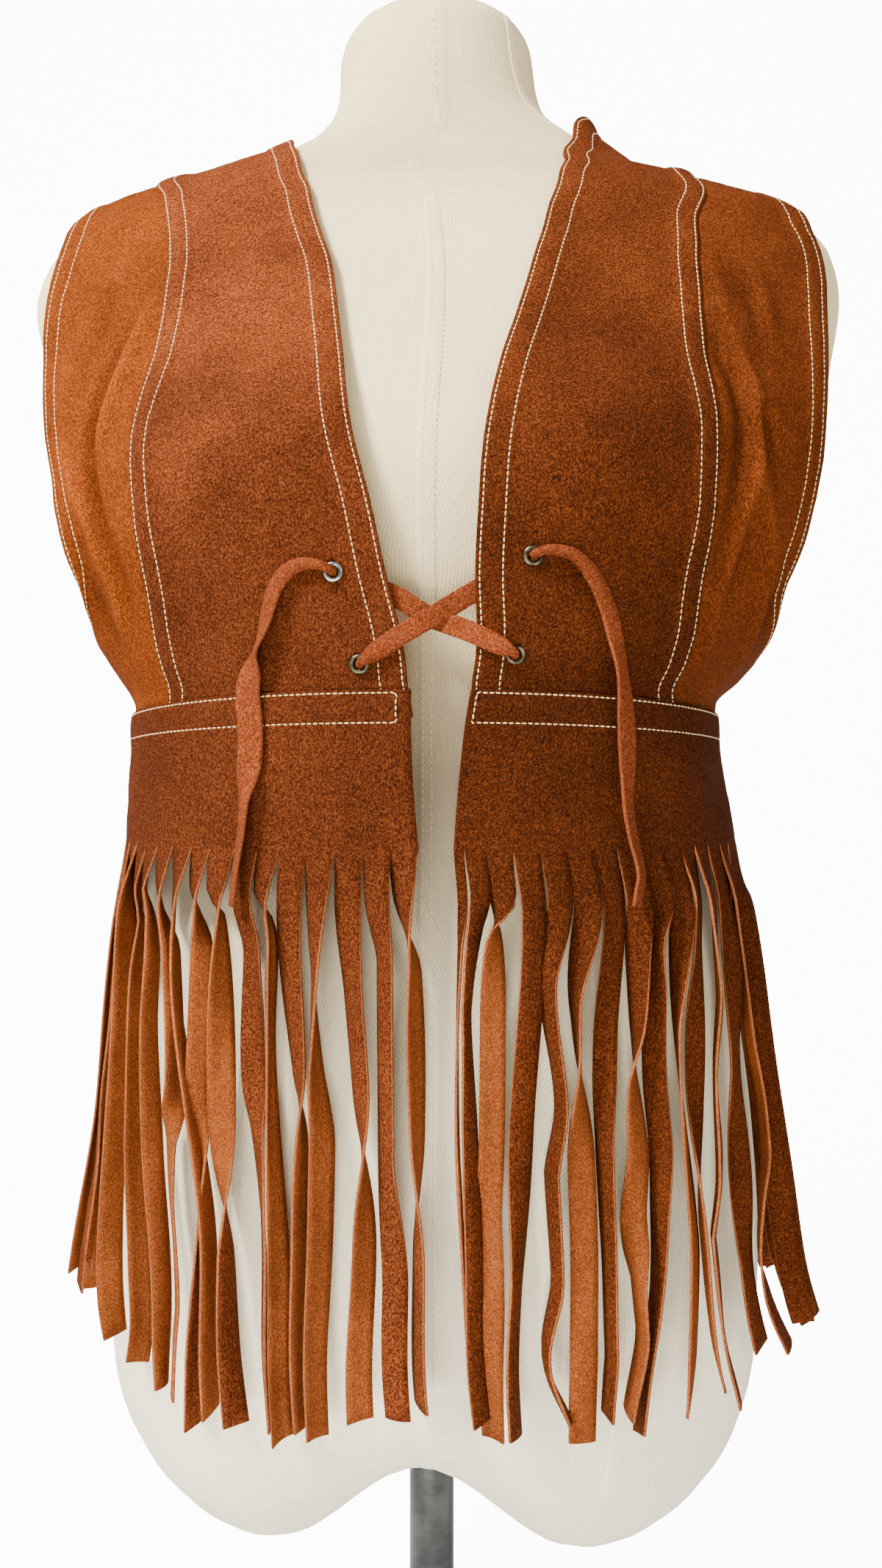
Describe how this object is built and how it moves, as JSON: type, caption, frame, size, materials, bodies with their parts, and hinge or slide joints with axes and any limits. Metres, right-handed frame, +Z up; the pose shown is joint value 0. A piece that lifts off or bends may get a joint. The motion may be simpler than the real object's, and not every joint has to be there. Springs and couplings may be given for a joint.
{
  "type": "fringed suede vest on a dress form",
  "caption": "Open-front princess-seam suede vest with a fringed peplum and lace ties, worn by a limbless dress form on a stand.",
  "frame": {"origin": "centre of the base plate's underside, on the pole's axis", "axes": "+Z up along the pole, -Y towards the vest's open front, +X towards the wearer's left"},
  "size_m": [0.4368, 0.3, 1.01],
  "materials": {
    "suede": "napped rust-coloured suede, matt, lighter where brushed or worn",
    "lace": "split-suede thong, matt",
    "eyelet": "aged nickel over brass, satin",
    "canvas": "undyed plain-weave canvas, matt",
    "steel": "brushed along the tube",
    "base_steel": "satin grey powder coat"
  },
  "bodies": {
    "root": {"front_right": "suede", "side_front_right": "suede", "front_left": "suede", "side_front_left": "suede", "back": "suede", "peplum_front_right": "suede", "fringe_front_right": "suede", "peplum_front_left": "suede", "fringe_front_left": "suede", "peplum_back": "suede", "fringe_back": "suede", "eyelet_right_upper": "eyelet", "eyelet_right_lower": "eyelet", "eyelet_left_upper": "eyelet", "eyelet_left_lower": "eyelet", "lace_left": "lace", "lace_knot_left": "lace", "lace_right": "lace", "lace_knot_right": "lace", "form_torso": "canvas", "pole": "steel", "base": "base_steel"}
  },
  "joints": []
}
